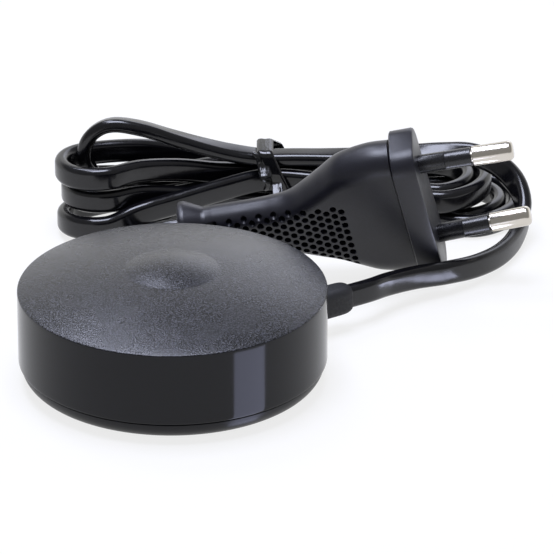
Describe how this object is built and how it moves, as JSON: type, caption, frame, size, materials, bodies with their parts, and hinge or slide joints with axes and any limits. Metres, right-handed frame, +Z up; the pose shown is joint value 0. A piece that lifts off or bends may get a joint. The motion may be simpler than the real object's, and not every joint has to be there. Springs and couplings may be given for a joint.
{
  "type": "inductive charging base",
  "caption": "Round inductive charging base with a crowned top, a flat mains cord tied in a hank and a two-pin plug.",
  "frame": {"origin": "centre of the round base at the level of its foot, on the surface that it stands on", "axes": "+Z up through the centre of the crown, +X to the right in the picture, +Y away from the viewer towards the cord and plug"},
  "size_m": [0.1022, 0.1182, 0.0358],
  "materials": {
    "case_black": "fine spark-eroded grain, satin",
    "lower_case_black": "satin",
    "rubber_black": "matt",
    "plate_foil": "bare satin foil",
    "cord_black": "smooth soft vinyl, semi-gloss",
    "plug_black": "fine grain, satin",
    "sleeve_black": "smooth",
    "pin_nickel": "nickel-plated brass",
    "tie_black": "glossy film over a wire",
    "board_green": "solder mask",
    "bobbin_cream": "moulded",
    "winding_copper": "enamelled copper wire",
    "ferrite_grey": "sintered, matt",
    "capacitor_blue": "sleeved",
    "film_red": "dipped",
    "silicon_black": "moulded epoxy",
    "resistor_green": "lacquered",
    "screw_steel": "zinc-plated",
    "wire_brown": "vinyl",
    "wire_blue": "vinyl"
  },
  "bodies": {
    "root": {"upper_case": "case_black", "lower_case": "lower_case_black", "case_seal": "rubber_black", "foot_ring": "rubber_black", "rating_plate": "plate_foil", "cord_gland": "rubber_black", "cord_clamp": "bobbin_cream", "live_wire": "wire_brown", "neutral_wire": "wire_blue", "circuit_board": "board_green", "coil_bobbin": "bobbin_cream", "primary_winding": "winding_copper", "ferrite_core": "ferrite_grey", "board_screw_1": "screw_steel", "board_screw_2": "screw_steel", "board_screw_3": "screw_steel", "film_capacitor": "film_red", "line_choke": "ferrite_grey", "bulk_capacitor": "capacitor_blue", "bridge_rectifier": "silicon_black", "switching_transistor": "silicon_black", "fuse_resistor": "resistor_green", "plug_bridge": "plug_black", "plug_body": "plug_black", "pin_upper": "pin_nickel", "pin_lower": "pin_nickel", "sleeve_upper": "sleeve_black", "sleeve_lower": "sleeve_black", "cord_lead": "cord_black", "cord_hank": "cord_black", "twist_tie": "tie_black"}
  },
  "joints": []
}
